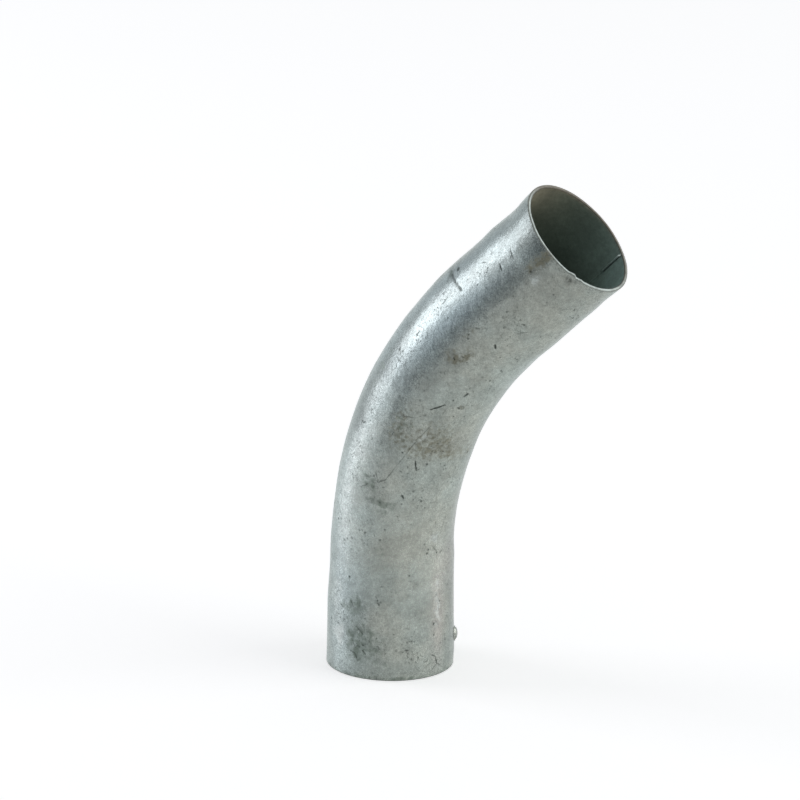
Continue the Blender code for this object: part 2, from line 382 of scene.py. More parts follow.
def wall_profile():
    """Closed line round the wall's thickness: up the outside, over the lip, down the bore, over the foot.

    Each point has a distance along the tube and a depth, 0 on the outside and 1 on the bore. A lip is a
    superellipse: depth follows the cosine of its angle and rise follows the sine, both to a small power.
    The last value is the distance walked along the line, which the wrap map uses.
    """
    outside, bore = outside_places(), bore_places()
    swing = np.linspace(0.0, math.pi, 2 * LIP_STEPS + 1)[1:-1]
    power = 2.0 / LIP_SQUARENESS
    depth = (1.0 - np.sign(np.cos(swing)) * np.abs(np.cos(swing)) ** power) / 2
    rise = LIP_DEPTH * np.sin(swing) ** power
    along = np.concatenate([outside, MOUTH - LIP_DEPTH + rise, bore, LIP_DEPTH - rise])
    depths = np.concatenate([np.zeros(len(outside)), depth, np.ones(len(bore)), 1.0 - depth])
    steps = np.hypot(np.diff(along), np.diff(depths) * WALL)
    walked = along[0] + np.concatenate([[0.0], np.cumsum(steps)])
    return along, depths, walked


def rim_rise(along, around):
    """Burr on the mouth: bell curves round the rim, easing in over the last stretch of the wall."""
    rise = np.zeros(np.broadcast(along, around).shape)
    for angle, width, high in RIM_RISES:
        rise += high * MM * bump(turn_between(around, math.radians(angle)) / math.radians(width))
    return rise * ease((along - MOUTH + RIM_RUN) / RIM_RUN)


def wall_points(along, depths, around):
    """Points of the wall: the tube's section set out from its middle line, moved out by the relief."""
    centre, heading, throat = path_frame(along)
    along, depths, around = along[:, None], depths[:, None], around[None, :]
    place = np.clip(along, 0.0, MOUTH)
    dents = MM * bell_patches(OUTLINE_DENTS, place, around)
    relief = waves(place, around) + dents - (1.0 - depths) * grooves(place, around)
    radius = outer_radius(place, around) + relief - WALL * depths
    radius += (1.0 - depths) * drop_height(place, around) - depths * seam_height(place, around)
    outward = np.cos(around)[..., None] * throat[:, None, :]
    outward = outward + np.sin(around)[..., None] * np.array([0.0, 1.0, 0.0])
    rise = rim_rise(along, around)[..., None] * heading[:, None, :]
    return centre[:, None, :] + radius[..., None] * outward + rise


def wall_mesh(materials):
    """Closed grid: profile points by angles, each row joined to the next and each column to the next."""
    along, depths, walked = wall_profile()
    around = grid_angles()
    points = wall_points(along, depths, around)
    rows, columns = points.shape[:2]
    row, column = np.meshgrid(np.arange(rows), np.arange(columns), indexing="ij")
    next_row, next_column = (row + 1) % rows, (column + 1) % columns
    corner_rows = np.stack([row, row, next_row, next_row], axis=-1)
    corner_columns = np.stack([column, next_column, next_column, column], axis=-1)
    faces = (corner_rows * columns + corner_columns).reshape(-1, 4)
    mesh = bpy.data.meshes.new("pipe_wall")
    mesh.from_pydata(points.reshape(-1, 3), [], faces)
    wrap_map(mesh, corner_rows, corner_columns, walked, around)
    tone_attributes(mesh, along, depths, around)
    for material in materials:
        mesh.materials.append(material)
    mesh.polygons.foreach_set("material_index", finish_of_rows(rows, columns))
    mesh.shade_smooth()
    mesh.update()
    return mesh


def wrap_map(mesh, rows, columns, walked, around):
    """UV map in metres: across is the angle times half the diameter, up is the distance walked."""
    turn = np.append(around, around[0] + 2 * math.pi)
    walk = np.append(walked, walked[-1] + LIP_DEPTH)
    closing = (columns == 0) & (np.arange(4) % 3 > 0)
    across = turn[np.where(closing, len(around), columns)] * DIAMETER / 2
    topping = (rows == 0) & (np.arange(4) > 1)
    up = walk[np.where(topping, len(walked), rows)]
    layer = mesh.uv_layers.new(name="wrap")
    layer.data.foreach_set("uv", np.stack([across, up], axis=-1).astype(np.float32).ravel())


# Soft patches of tone, some of them painted light, shade and reflection as said above each list, each as
# along, round, half length, half breadth and strength
PATCH_MOST = 1.2
BROWN_STAINS = [
    (217.2, -87.5, 3.8, 2.6, 0.72), (219.7, -90.1, 0.8, 0.9, 1.1), (216.4, -86.6, 1.1, 0.9, 1.1),
    (219, -85, 1.4, 0.8, 0.9), (214.4, -87.7, 1, 0.8, 1), (209.8, -90, 1.2, 1.2, 1),
    (212.5, -92, 5, 3.4, 0.5), (192.5, -83.5, 1.6, 1.2, 0.45), (169, -84, 4, 2.2, 0.35),
    (161.6, -66.6, 1.2, 1, 0.8), (159.3, -68.7, 1.2, 1, 0.8), (160, -73, 5.4, 3, 0.52),
    (156, -82, 3.4, 2.6, 0.45), (154.2, -75.5, 2.4, 2, 0.62), (135, -41, 1.3, 1.6, 0.9),
    (119, -83, 7, 4.6, 0.36), (110, -80, 7, 5.6, 0.46), (119.5, -48, 6.6, 7, 0.38),
    (111.5, -48, 6, 8, 0.36), (106.5, -56, 4.4, 5, 0.42), (115, -35, 5.4, 4.8, 0.3),
    (108.5, -12, 4.2, 7.6, 0.4), (108, -28, 4.2, 6, 0.38), (25, -118, 1.5, 1.2, 0.3),
    (220.8, 108, 1, 31, 1.2), (220.8, 28, 1, 11, 0.45), (220.8, 168, 1, 14, 0.6),
    (12.4, 29, 2.4, 2.2, 0.62),
]
# Dark smudges, and painted shade: a long dark band beside the lit band, a darker patch at its edge, and a
# dark ring at the foot as painted contact shadow
DARK_SMUDGES_AND_PAINTED_SHADE = [
    (160, -95, 50, 1.8, 0.25), (127, -134, 11, 3.6, 0.4), (115, -80, 8, 5, 0.45),
    (84.5, -91, 4.8, 4.6, 0.62), (77, -76, 3.4, 5.5, 0.6), (31.5, -94, 4.6, 4.6, 0.6),
    (30, -108, 1.6, 2.2, 0.55), (26, -96, 4.4, 3.6, 0.45), (172.2, -147, 1.8, 3.6, 0.85),
    (20, -84, 3.8, 5.6, 0.5), (14.5, -91, 4.4, 5, 0.58), (18.5, -99, 3.6, 2.2, 0.42),
    (9.5, -93, 3.6, 4.4, 0.64), (12.5, -76, 4, 5.6, 0.45), (6.5, -62, 2.6, 6, 0.35),
    (7, -20, 2.6, 3.4, 0.45), (55, -72, 18, 3.4, 0.25), (0.8, -60, 1.1, 45, 0.7),
]
# Painted reflection: blue tint along both flanks of the lit band, on the back and low on the left
PAINTED_BLUE_REFLECTIONS = [
    (130, -128, 250, 19, 0.55), (175, -148, 50, 6, 0.45), (165, -104, 40, 5.5, 0.55),
    (30, -104, 30, 8, 0.2),
]
WARM_BLOOMS = [
    (26, -12, 20, 4, 0.9), (48, 2, 12, 5, 0.5), (50, 20, 50, 6, 0.8),
]
# Painted light in the bore: lighter brown near the mouth on the back, and a brown stain along the far rim's
# inner edge
BORE_BROWNS_AND_LIGHT = [
    (221, -178, 26, 20, 1), (220.8, 110, 1.2, 30, 0.7),
]
# Painted light in the bore: lighter teal near the mouth on the throat's side
BORE_LIT_TEALS = [
    (216, 50, 28, 23, 0.6), (218, 12, 17, 14, 0.8), (219, 32, 8, 7, 0.5),
]
# Pale patches, and painted highlight: the lit band low on the left lightened in patches, with bright flecks
# near the foot
PALE_PATCHES_AND_PAINTED_HIGHLIGHT = [
    (208.5, -79, 3, 2, 0.9), (114.5, -58.5, 2.6, 1.8, 0.7), (106, -104, 5, 5, 0.6), (96, -112, 7, 6, 0.6),
    (80, -118, 10, 8, 0.5), (60, -112, 13, 8, 0.55), (62, -18, 3.4, 2.6, 0.75), (33, -12, 9, 1.8, 0.6),
    (24, -15, 4, 2.2, 0.5), (38, -122, 10, 6, 0.45), (17, -113, 4.6, 2.6, 1.2), (19, -125, 6, 3, 0.5),
]

# Painted light and shade, with slow changes of the coat's lightness: lighter along the lit band, darker
# where it narrows and near the mouth, each as along, round, half length, half breadth and share lighter
COAT_TONES_AND_PAINTED_LIGHT = [
    (15, -88, 9, 5, 0.1), (30, -64, 12, 3.4, -0.08), (160, -30, 32, 12, 0.12), (82, -8, 24, 9, 0.13),
    (80, -50, 16, 8, 0.08), (26, -52, 16, 6, 0.12), (135, -12, 12, 11, 0.1), (20, -30, 20, 10, -0.12),
    (20, -5, 16, 8, -0.07), (64, -104, 48, 9, 0.24), (122, -128, 20, 7, -0.3), (150, -126, 12, 8, -0.08),
    (76, -127, 14, 7, 0.14), (162, -91, 24, 4, 0.2), (148, -78, 16, 5, -0.12), (212, -125, 7, 10, -0.2),
    (220.5, -122, 3, 12, -0.35), (212, -70, 8, 8, -0.14), (219, -88, 5, 7, -0.18),
    (218.2, -58, 2.2, 2.6, -0.34), (108, -103, 14, 6, 0.2), (56, -100, 16, 5, 0.12),
    (8, -100, 6, 6, 0.14), (106, -124, 8, 6, -0.16), (56, -35, 9, 6, -0.1), (180, -145, 20, 8, -0.1),
    (45, 22, 32, 6, -0.14), (108, 14, 12, 6, -0.16), (210, -100, 6, 3.6, 0.28), (196, -96, 11, 5, 0.15),
    (165, -111.5, 12, 3.4, 0.22), (186, -110, 9, 3.4, 0.14), (149, -112, 9, 3.6, 0.18),
    (195, -76, 12, 5, -0.15), (145, -91, 16, 3, 0.18), (141, -81, 12, 3.4, -0.15),
    (140, -70, 12, 4, 0.12), (135, -100, 6, 3.4, -0.22), (142, -131, 14, 3.6, -0.14),
    (150, -120, 7, 3.8, 0.12), (121, -84, 5, 4.6, 0.14), (104, -80, 5, 4, -0.12), (120, -50, 6, 5, -0.12),
    (105, -110, 9, 3.4, 0.14), (90, -104, 8, 7, 0.12), (75, -131, 10, 4.4, 0.2), (60, -90, 28, 3.8, 0.14),
    (58, -50, 13, 4.6, 0.12), (44, -131, 36, 3.4, 0.12), (30, -29, 8, 3.8, -0.14),
    (142, -151, 11, 4, 0.16), (73, 15, 12, 5, 0.14), (15, -70, 7, 4, -0.14), (155, -125, 8, 4, 0.22),
    (130, -126, 6, 3.6, -0.2), (104, -125, 7, 3.6, -0.22), (209, -100, 5, 3.4, 0.16),
    (154, -75, 6, 4, -0.14), (55, -65, 16, 3.4, -0.12), (182, -56, 6, 4, 0.12), (180, -92, 7, 3.6, 0.12),
    (8, -105, 5, 4, 0.12),
]

# Where fine specks crowd, each as along, round, half length, half breadth and strength
SPECK_CROWDS = [
    (140, -122, 48, 5, 0.8), (200, -112, 18, 6, 0.35), (85, -122, 14, 4, 0.4), (84, -108, 4, 3, 0.6),
    (79, -38, 3.6, 3, 0.9), (100, -28, 3, 2.6, 0.8), (54.8, -22, 2.4, 5, 0.7), (40, -60, 12, 6, 0.3),
    (6, -22, 4, 7, 0.65), (16, -112, 6, 4, 0.25), (12, -90, 6, 5, 0.4), (26, -78, 4, 6, 0.4),
    (156, -76, 9, 5, 0.5), (112, -50, 8, 10, 0.2),
]


def tone_attributes(mesh, along, depths, around):
    """One number a point for each set of patches, held under a most, which the materials read by name."""
    fields = {
        "brown_stain": BROWN_STAINS, "smudge_and_painted_shade": DARK_SMUDGES_AND_PAINTED_SHADE, "pale_patch_and_painted_highlight": PALE_PATCHES_AND_PAINTED_HIGHLIGHT,
        "painted_blue_reflection": PAINTED_BLUE_REFLECTIONS, "warm_bloom": WARM_BLOOMS, "coat_tone_and_painted_light": COAT_TONES_AND_PAINTED_LIGHT,
        "speck_crowd": SPECK_CROWDS, "bore_brown_and_painted_light": BORE_BROWNS_AND_LIGHT, "bore_lit_teal": BORE_LIT_TEALS,
    }
    for name, patches in fields.items():
        strength = bell_patches(patches, along[:, None], around[None, :])
        point_numbers(mesh, name, np.minimum(strength, PATCH_MOST))
    point_numbers(mesh, "wall_depth", depths[:, None] + 0.0 * around[None, :])
    # Weld bead's painted shadow and painted highlight
    shade, crest_highlight = bead_painted_light(along[:, None], around[None, :])
    point_numbers(mesh, "bead_painted_shadow", shade)
    point_numbers(mesh, "bead_painted_highlight", crest_highlight)


def point_numbers(mesh, name, values):
    """One named number at each point of the wall."""
    layer = mesh.attributes.new(name, "FLOAT", "POINT")
    layer.data.foreach_set("value", values.astype(np.float32).ravel())


# Weld bead's painted shadow and painted highlight: how far each lies from its crest and how wide it is, in
# degrees round the bore
BEAD_PAINTED_SHADOW = (-1.20, 0.60)
BEAD_PAINTED_HIGHLIGHT = (-0.10, 0.45)
BEAD_TIP_GLINT_LENGTH = 0.0012
BEAD_PAINTED_SHADOW_MOST = 0.9
BEAD_PAINTED_HIGHLIGHT_MOST = 0.55
BEAD_TIP_GLINT_MOST = 1.6


def bead_painted_light(along, around):
    """Painted shadow at the foot of one side of the full bead, and a painted highlight on its crest with a
    painted glint at the tip.
    """
    full_end = MOUTH - SEAM_DRESSED
    begun = ease((along - full_end + SEAM_FULL_RUN) / SEAM_RUN_OUT)
    in_full = begun * ease((MOUTH - along) / SEAM_DRESSED)
    off_crest = np.degrees(turn_between(around, SEAM_ANGLE))
    shade = in_full * bump((off_crest - BEAD_PAINTED_SHADOW[0]) / BEAD_PAINTED_SHADOW[1])
    crest_highlight = in_full * bump((off_crest - BEAD_PAINTED_HIGHLIGHT[0]) / BEAD_PAINTED_HIGHLIGHT[1])
    tip_glint = bump((along - full_end) / BEAD_TIP_GLINT_LENGTH) * bump(off_crest / BEAD_PAINTED_SHADOW[1])
    return BEAD_PAINTED_SHADOW_MOST * shade, BEAD_PAINTED_HIGHLIGHT_MOST * crest_highlight + BEAD_TIP_GLINT_MOST * tip_glint


def finish_of_rows(rows, columns):
    """Material slot of each face: 0 outside, 1 on the two lips and 2 in the bore."""
    slots = np.ones(rows, np.int32)
    outside_rows = OUTSIDE_STEPS + 2 * EDGE_ROWS
    slots[: outside_rows - 1] = 0
    slots[outside_rows + 2 * LIP_STEPS - 1 : rows - 2 * LIP_STEPS] = 2
    return np.repeat(slots, columns)


# Zinc finishes
ZINC_COOL = (0.286, 0.320, 0.294)
ZINC_WARM = (0.302, 0.320, 0.284)
# Blue of the painted reflection
ZINC_BLUE_REFLECTION = (0.258, 0.316, 0.336)
ZINC_BEIGE = (0.320, 0.312, 0.286)
# Pale of the patches and of the painted highlight
ZINC_PALE_AND_HIGHLIGHT = (0.460, 0.505, 0.495)
STAIN_BROWN = (0.160, 0.155, 0.106)
# Green of the smudges and of the painted shade
SMUDGE_AND_SHADE_GREEN = (0.110, 0.140, 0.115)
MARK_DARK = (0.016, 0.021, 0.018)
ZINC_ROUGHNESS = 0.26
ZINC_METALLIC = 0.70
EDGE_TINT = (0.82, 0.88, 0.88, 1.0)
LIP_OUTER = (0.150, 0.170, 0.155)
LIP_BRIGHT = (0.540, 0.610, 0.580)
LIP_BROWN = (0.190, 0.178, 0.145)
LIP_INNER = (0.050, 0.070, 0.062)
LIP_BROWN_INNER = (0.070, 0.062, 0.046)
# Bore: dull dark zinc, also painted shade deep in; lighter brown and teal as painted light near the mouth
BORE_SHADE_DARK = (0.118, 0.152, 0.118)
BORE_BROWN_AND_LIGHT = (0.270, 0.250, 0.180)
BORE_LIT_TEAL = (0.290, 0.410, 0.385)
# Weld bead: dark of the painted shadow and pale of the painted highlight
BEAD_SHADOW_DARK = (0.010, 0.014, 0.013)
BEAD_HIGHLIGHT_PALE = (0.620, 0.720, 0.690)
FLECK_ROUGHNESS = 0.16
MARK_ROUGHNESS = 0.40
DULL_SHARE = 0.8
LIP_ROUGHNESS = 0.42
LIP_METALLIC = 0.35
BORE_ROUGHNESS = 0.55
BORE_METALLIC = 0.3

# Ragged patches: colour, its share, size of the islets, how broken they are, and roughness added; the pale
# patches hold painted highlight and the dark smudges painted shade
PATCH_LOOKS = {
    "pale_patch_and_painted_highlight": (ZINC_PALE_AND_HIGHLIGHT, 0.75, 0.0036, 1.2, 0.10),
    "brown_stain": (STAIN_BROWN, 0.85, 0.0016, 1.5, 0.20),
    "smudge_and_painted_shade": (SMUDGE_AND_SHADE_GREEN, 0.80, 0.0022, 1.4, 0.20),
}
RAGGED_CUT = (0.15, 1.10)
RAGGED_INSIDE = (0.03, 0.25)

# Cloudy mottling, coarse to fine: size and depth
ZINC_MOTTLES = [(0.024, 0.06), (0.0070, 0.09), (0.0024, 0.11), (0.0010, 0.13), (0.0005, 0.10)]
LIP_MOTTLES = [(0.0022, 0.25)]
BORE_MOTTLES = [(0.0080, 0.12), (0.0016, 0.12)]
MOTTLE_RANGE = (0.30, 0.70)
TINT_SIZE = 0.030
TINT_RANGE = (0.38, 0.62)

# Depths through the wall over which a lip turns bright, and then dark
LIP_BRIGHT_BAND = (0.16, 0.38)
LIP_TURNED_IN = (0.60, 0.88)

# Pits and scratches; pinholes as spacing, radius in cells, share of cells, share added in a crowd, darkness
MARK_NARROWING = 0.5
MARK_FADE = (1.5, 0.4)
SPECK_FADE = (1.3, 0.5)
PINHOLE_FADE = (1.0, 0.5)
PINHOLES = [(0.0030, 0.15, 0.09, 0.40, 0.70), (0.0015, 0.20, 0.05, 0.30, 0.40)]
WANDER_SIZE = 1 / 900
WANDER_REACH = 0.0009
CROWD_SIZE = 0.011
CROWD_RANGE = (0.50, 0.62)
FINE_SPECK_SIZE = 0.0011
FINE_SPECK_LEVEL = 0.315
FINE_SPECK_CROWDED = 0.075
FINE_SPECK_FADE = -0.035
FINE_SPECK_DARK = 0.60
HAIRLINE_SIZE = 0.0065
HAIRLINE_FADE = (0.010, 0.003)
HAIRLINE_PLACES_SIZE = 0.016
HAIRLINE_PLACES = (0.52, 0.60)
HAIRLINE_DARK = 0.28

# Fine relief
GRAIN_SIZE = 0.0008
GRAIN_HEIGHT = 0.00003
GRAIN_CELL = 0.45
GRAIN_SPARKLE = 0.35
BORE_GRAIN_SIZE = 0.0012
DIMPLE_SIZE = 0.0024
DIMPLE_HEIGHT = 0.00011
RIDGE_SIZE = 0.0007
RIDGE_HEIGHT = 0.00003
RIDGE_STRETCH = (0.2, 1.0, 1.0)

VECTOR_INPUTS = {"Vector", "Start", "Span", "Middle"}
WHITE = (1.0, 1.0, 1.0)


def add_node(tree, kind, inputs=None, **settings):
    """A node with its settings; inputs are numbers, colours or other nodes' outputs, by index or name."""
    node = tree.nodes.new(kind)
    for key, value in settings.items():
        setattr(node, key, value)
    for key, value in (inputs or {}).items():
        if isinstance(value, bpy.types.NodeSocket):
            tree.links.new(value, node.inputs[key])
        else:
            node.inputs[key].default_value = value
    return node


def calc(tree, operation, *values):
    """Output of one Math node."""
    return add_node(tree, "ShaderNodeMath", dict(enumerate(values)), operation=operation).outputs[0]


def vector_of(tree, operation, *values):
    """Output of one Vector Math node that gives a vector."""
    return add_node(tree, "ShaderNodeVectorMath", dict(enumerate(values)), operation=operation).outputs[0]


def number_of(tree, operation, *values):
    """Output of one Vector Math node that gives a number."""
    return add_node(tree, "ShaderNodeVectorMath", dict(enumerate(values)), operation=operation).outputs[1]


def ramp(tree, value, low, high, low_to=0.0, high_to=1.0):
    """Value eased from low_to to high_to as it goes from low to high."""
    inputs = {"Value": value, "From Min": low, "From Max": high, "To Min": low_to, "To Max": high_to}
    return add_node(tree, "ShaderNodeMapRange", inputs, interpolation_type="SMOOTHSTEP").outputs[0]


def between(tree, share, first, second):
    """Number between first and second."""
    return calc(tree, "MULTIPLY_ADD", share, calc(tree, "SUBTRACT", second, first), first)


def blend(tree, share, first, second):
    """Colour between first and second."""
    node = add_node(tree, "ShaderNodeMix", data_type="RGBA", blend_type="MIX", clamp_factor=True)
    for name, value in (("Factor_Float", share), ("A_Color", first), ("B_Color", second)):
        socket = next(s for s in node.inputs if s.identifier == name)
        if isinstance(value, bpy.types.NodeSocket):
            tree.links.new(value, socket)
        else:
            socket.default_value = (*value, 1.0) if name != "Factor_Float" else value
    return next(s for s in node.outputs if s.identifier == "Result_Color")


def noise(tree, vector, size, detail=3.0, coarse=0.5, output="Fac"):
    """Cloudy noise whose patches are about size across."""
    scale = calc(tree, "DIVIDE", 1.0, size)
    inputs = {"Vector": vector, "Scale": scale, "Detail": detail, "Roughness": coarse}
    return add_node(tree, "ShaderNodeTexNoise", inputs).outputs[output]


def fading(tree, gap, radius, fade):
    """1 at no gap, easing to 0 outwards: fade gives the shares of the radius where it ends and starts."""
    ends, starts = (calc(tree, "MULTIPLY", radius, share) for share in fade)
    return ramp(tree, gap, ends, starts)


def new_group(name, inputs, outputs):
    """Empty shader node group with sockets of these names, and its own input and output nodes."""
    tree = bpy.data.node_groups.new(name, "ShaderNodeTree")
    for label in inputs:
        kind = "NodeSocketVector" if label in VECTOR_INPUTS else "NodeSocketFloat"
        tree.interface.new_socket(name=label, in_out="INPUT", socket_type=kind)
    for label in outputs:
        tree.interface.new_socket(name=label, in_out="OUTPUT", socket_type="NodeSocketFloat")
    return tree, tree.nodes.new("NodeGroupInput").outputs, tree.nodes.new("NodeGroupOutput").inputs


def place_group(tree, group, inputs):
    """Outputs of one use of a group with these inputs."""
    return add_node(tree, "ShaderNodeGroup", inputs, node_tree=group).outputs


def mottle_group():
    """Cloudy light and dark: a shade round 1 that swings by Depth either way."""
    tree, given, out = new_group("cloudy_mottle", ["Vector", "Size", "Depth"], ["Shade"])
    cloud = noise(tree, given["Vector"], given["Size"], 5.0, 0.62)
    low = calc(tree, "SUBTRACT", 1.0, given["Depth"])
    high = calc(tree, "ADD", 1.0, given["Depth"])
    tree.links.new(ramp(tree, cloud, *MOTTLE_RANGE, low, high), out["Shade"])
    return tree


def ragged_group():
    """Breaks the soft edge of a patch into ragged islets: the patch plus noise, cut at a level."""
    tree, given, out = new_group("ragged_patch", ["Patch", "Vector", "Size", "Break"], ["Mask"])
    cloud = noise(tree, given["Vector"], given["Size"], 6.0, 0.65)
    swing = calc(tree, "MULTIPLY", calc(tree, "SUBTRACT", cloud, 0.5), given["Break"])
    lifted = calc(tree, "MULTIPLY_ADD", swing, 2.0, given["Patch"])
    cut = ramp(tree, lifted, *RAGGED_CUT)
    inside = ramp(tree, given["Patch"], *RAGGED_INSIDE)
    tree.links.new(calc(tree, "MULTIPLY", cut, inside), out["Mask"])
    return tree


def pinhole_group():
    """Pinholes: the middles of scattered cells, for the share of the cells that has one.

    The radius, in cells, is varied from half to one and a half of what is given.
    """
    tree, given, out = new_group("pinholes", ["Vector", "Spacing", "Radius", "Share"], ["Mask"])
    scale = calc(tree, "DIVIDE", 1.0, given["Spacing"])
    cells = add_node(tree, "ShaderNodeTexVoronoi", {"Vector": given["Vector"], "Scale": scale})
    picked = add_node(tree, "ShaderNodeSeparateColor", {0: cells.outputs["Color"]}).outputs
    chosen = calc(tree, "LESS_THAN", picked[0], given["Share"])
    radius = calc(tree, "MULTIPLY", given["Radius"], calc(tree, "ADD", picked[1], 0.5))
    hole = fading(tree, cells.outputs["Distance"], radius, PINHOLE_FADE)
    tree.links.new(calc(tree, "MULTIPLY", hole, chosen), out["Mask"])
    return tree


def grain_group():
    """Frosty grain of dipped zinc: small cells tipped at random with fine noise over them."""
    tree, given, out = new_group("frost_grain", ["Vector", "Size", "Height"], ["Relief", "Fleck"])
    fine = noise(tree, given["Vector"], given["Size"], 4.0, 0.6)
    scale = calc(tree, "DIVIDE", 1.0, calc(tree, "MULTIPLY", given["Size"], GRAIN_CELL))
    cells = add_node(tree, "ShaderNodeTexVoronoi", {"Vector": given["Vector"], "Scale": scale})
    sparkle = add_node(tree, "ShaderNodeSeparateColor", {0: cells.outputs["Color"]}).outputs[0]
    total = calc(tree, "MULTIPLY_ADD", sparkle, GRAIN_SPARKLE, fine)
    tree.links.new(calc(tree, "MULTIPLY", total, given["Height"]), out["Relief"])
    tree.links.new(sparkle, out["Fleck"])
    return tree


def mark_group():
    """A mark along a line: full on it, easing to 0 past its half width, which narrows to both ends."""
    inputs = ["Vector", "Start", "Span", "Half Width", "Strength"]
    tree, given, out = new_group("line_mark", inputs, ["Mask"])
    away = vector_of(tree, "SUBTRACT", given["Vector"], given["Start"])
    along = number_of(tree, "DOT_PRODUCT", away, given["Span"])
    whole = number_of(tree, "DOT_PRODUCT", given["Span"], given["Span"])
    share = calc(tree, "MAXIMUM", calc(tree, "DIVIDE", along, whole), 0.0)
    share = calc(tree, "MINIMUM", share, 1.0)
    scaled = {0: given["Span"], "Scale": share}
    nearest = add_node(tree, "ShaderNodeVectorMath", scaled, operation="SCALE").outputs[0]
    gap = number_of(tree, "LENGTH", vector_of(tree, "SUBTRACT", away, nearest))
    off_middle = calc(tree, "MULTIPLY_ADD", share, 2.0, -1.0)
    off_middle = calc(tree, "MULTIPLY", off_middle, off_middle)
    left = calc(tree, "MULTIPLY_ADD", off_middle, -MARK_NARROWING, 1.0)
    hit = fading(tree, gap, calc(tree, "MULTIPLY", left, given["Half Width"]), MARK_FADE)
    tree.links.new(calc(tree, "MULTIPLY", hit, given["Strength"]), out["Mask"])
    return tree


def speck_group():
    """A round speck: full at its middle, easing to 0 past its radius."""
    tree, given, out = new_group("round_speck", ["Vector", "Middle", "Radius", "Strength"], ["Mask"])
    gap = number_of(tree, "LENGTH", vector_of(tree, "SUBTRACT", given["Vector"], given["Middle"]))
    hit = fading(tree, gap, given["Radius"], SPECK_FADE)
    tree.links.new(calc(tree, "MULTIPLY", hit, given["Strength"]), out["Mask"])
    return tree


def all_specks(tree, group, vector):
    """The strongest of the round specks at each point."""
    strongest = 0.0
    for place, angle, radius, dark in SPECKS:
        middle = (unrolled(angle), place * MM, 0.0)
        inputs = {"Vector": vector, "Middle": middle, "Radius": radius * MM, "Strength": dark}
        strongest = calc(tree, "MAXIMUM", strongest, place_group(tree, group, inputs)["Mask"])
    return strongest


def fine_specks_group():
    """Small ragged specks: where cloudy noise dips under a level, which Crowd raises."""
    tree, given, out = new_group("fine_specks", ["Vector", "Size", "Crowd"], ["Mask"])
    cloud = noise(tree, given["Vector"], given["Size"], 3.0, 0.6)
    level = calc(tree, "MULTIPLY_ADD", given["Crowd"], FINE_SPECK_CROWDED, FINE_SPECK_LEVEL)
    tree.links.new(ramp(tree, calc(tree, "SUBTRACT", cloud, level), 0.0, FINE_SPECK_FADE), out["Mask"])
    return tree


def all_marks(tree, group, vector):
    """The strongest of the marks at each point."""
    strongest = 0.0
    for mark in MARKS:
        start, span = mark_line(mark)
        inputs = {"Vector": vector, "Start": (*start, 0.0), "Span": (*span, 0.0)}
        inputs.update({"Half Width": mark[4] * MM, "Strength": mark[5]})
        strongest = calc(tree, "MAXIMUM", strongest, place_group(tree, group, inputs)["Mask"])
    return strongest


def new_material(name):
    """A material, its tree and its Principled shader's sockets."""
    material = bpy.data.materials.new(name)
    material.use_nodes = True
    return material, material.node_tree, material.node_tree.nodes["Principled BSDF"].inputs


def new_metal(name):
    """The same for a finish of the tube, with the object and wrap coordinates."""
    material, tree, surface = new_material(name)
    place = add_node(tree, "ShaderNodeTexCoord").outputs["Object"]
    wrap = add_node(tree, "ShaderNodeUVMap", uv_map="wrap").outputs[0]
    return material, tree, surface, place, wrap


def attribute(tree, name):
    """One of the numbers set at the wall's points."""
    return add_node(tree, "ShaderNodeAttribute", attribute_name=name).outputs["Fac"]


def bumped(tree, height):
    """Normal tilted by a height in metres."""
    return add_node(tree, "ShaderNodeBump", {"Strength": 1.0, "Distance": 1.0, "Height": height}).outputs[0]


def shaded_by(tree, colour, shade):
    """Colour multiplied by a shade."""
    grey = add_node(tree, "ShaderNodeCombineXYZ", {0: shade, 1: shade, 2: shade}).outputs[0]
    return vector_of(tree, "MULTIPLY", colour, grey)


def mottled(tree, group, colour, place, mottles):
    """Colour shaded by cloudy mottling of each size and depth in turn."""
    for size, depth in mottles:
        inputs = {"Vector": place, "Size": size, "Depth": depth}
        colour = shaded_by(tree, colour, place_group(tree, group, inputs)["Shade"])
    return colour


